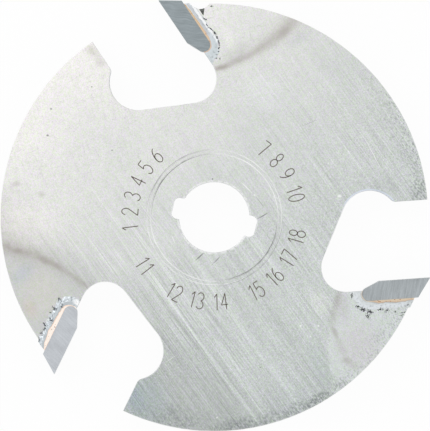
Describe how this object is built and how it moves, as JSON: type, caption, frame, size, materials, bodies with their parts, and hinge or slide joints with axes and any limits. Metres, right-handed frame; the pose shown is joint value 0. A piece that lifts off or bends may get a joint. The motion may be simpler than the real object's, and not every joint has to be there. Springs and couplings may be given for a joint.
{
  "type": "router slot cutter",
  "caption": "Flat steel disc with brazed carbide tips and round gullets, driven on a notched central bore, that cuts narrow slots and grooves in wood.",
  "frame": {"origin": "on the bore's axis, halfway through the plate's thickness", "axes": "+Z along the bore; seen from +Z the cutter turns counter-clockwise; +X and +Y are the picture's right and up"},
  "size_m": [0.0487, 0.0488, 0.004],
  "materials": {
    "plate_steel": "surface-ground steel, fine straight grinding lines, heat tint near the tips",
    "tip_carbide": "diamond-ground sintered carbide, satin grey",
    "braze": "silver braze with a thin copper-coloured seam, slightly pitted"
  },
  "bodies": {
    "root": {"plate": "plate_steel", "carbide_tip_1": "tip_carbide", "carbide_tip_2": "tip_carbide", "carbide_tip_3": "tip_carbide", "braze_seam_1": "braze", "braze_seam_2": "braze", "braze_seam_3": "braze"}
  },
  "joints": []
}
